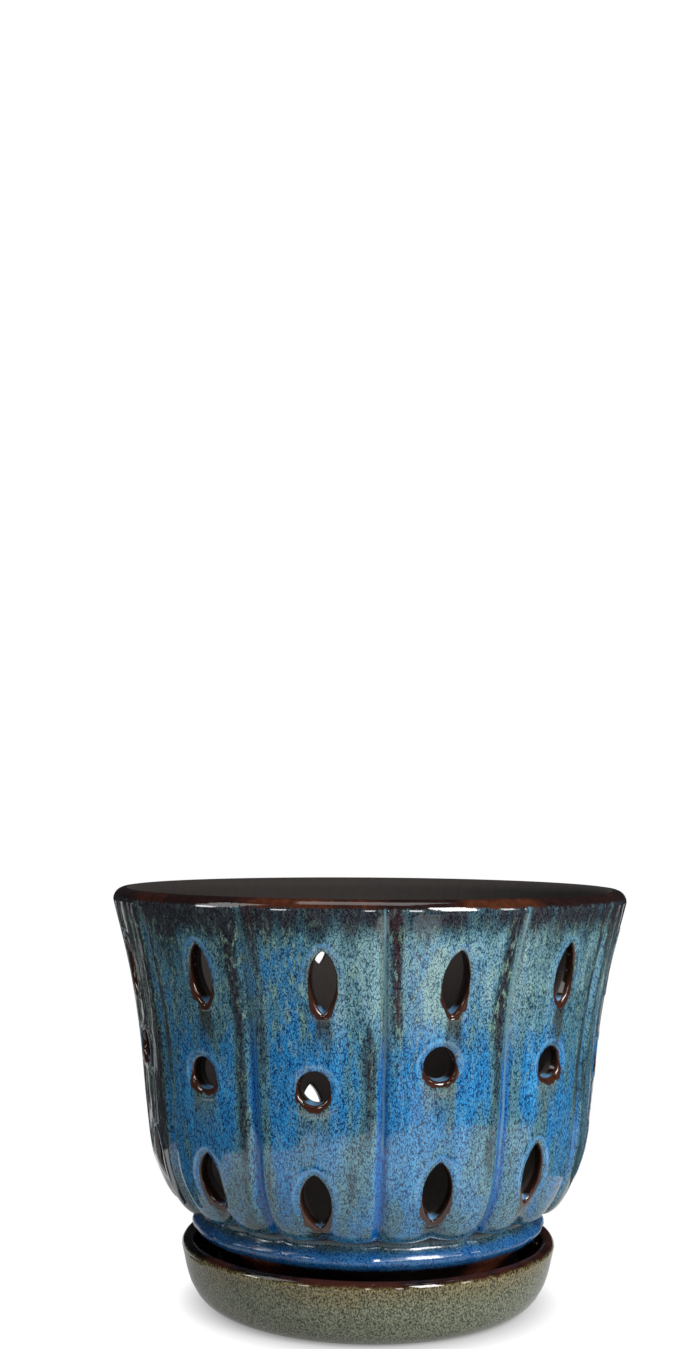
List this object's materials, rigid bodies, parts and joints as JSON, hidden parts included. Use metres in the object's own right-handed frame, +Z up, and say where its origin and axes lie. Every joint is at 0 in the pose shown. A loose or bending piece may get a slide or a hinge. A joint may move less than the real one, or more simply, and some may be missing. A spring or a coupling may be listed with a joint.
{
  "type": "orchid pot",
  "caption": "Glazed stoneware orchid pot with grooved panels, cut leaf-shaped slots and round air holes, standing in a drip saucer.",
  "frame": {"origin": "on the surface the saucer stands on, below the middle of the pot", "axes": "+Z up; a column of slots faces -Y, and +X is to the right of it"},
  "size_m": [0.203, 0.203, 0.159],
  "materials": {
    "pot_glaze": "gloss",
    "saucer_glaze": "gloss"
  },
  "bodies": {
    "saucer": {"saucer": "saucer_glaze"},
    "pot": {"pot": "pot_glaze"}
  },
  "joints": [
    {"name": "lift_out", "type": "slide", "parent": "saucer", "child": "pot", "axis": [0, 0, 1], "range_m": [0, 0.12]}
  ]
}
